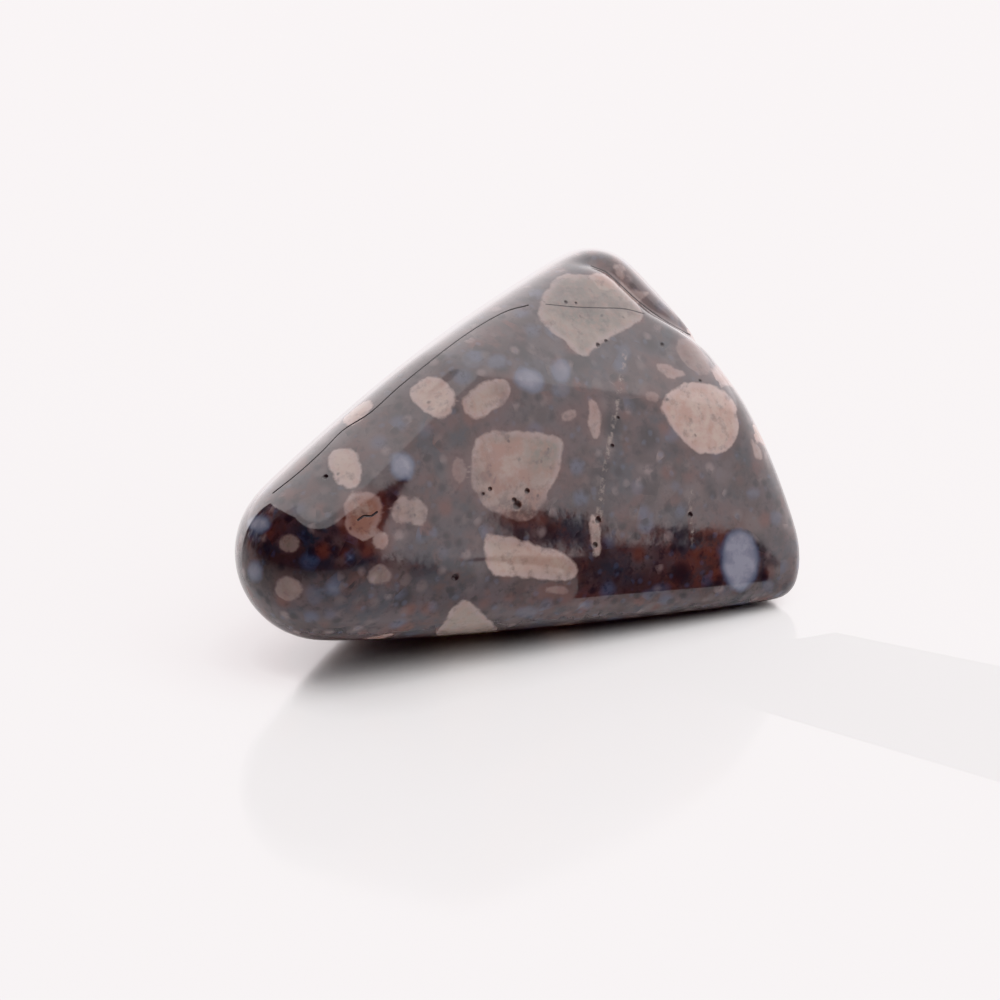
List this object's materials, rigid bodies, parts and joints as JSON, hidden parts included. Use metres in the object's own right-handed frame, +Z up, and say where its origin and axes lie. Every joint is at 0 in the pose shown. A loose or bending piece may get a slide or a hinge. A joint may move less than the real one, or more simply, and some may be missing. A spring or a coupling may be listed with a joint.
{
  "type": "tumbled vulcanite pebble",
  "caption": "Polished rounded-wedge pebble of dark porphyritic rock with pale feldspar and blue quartz crystals, resting on a small flat.",
  "frame": {"origin": "on the ground, under the middle of the stone's box", "axes": "+X along the stone's length, from the hanging lobe to the foot; the broad crowned face looks along -Y; +Z up"},
  "size_m": [0.0354, 0.022, 0.0203],
  "materials": {
    "polished_rhyolite": "polished"
  },
  "bodies": {
    "root": {"stone": "polished_rhyolite"}
  },
  "joints": []
}
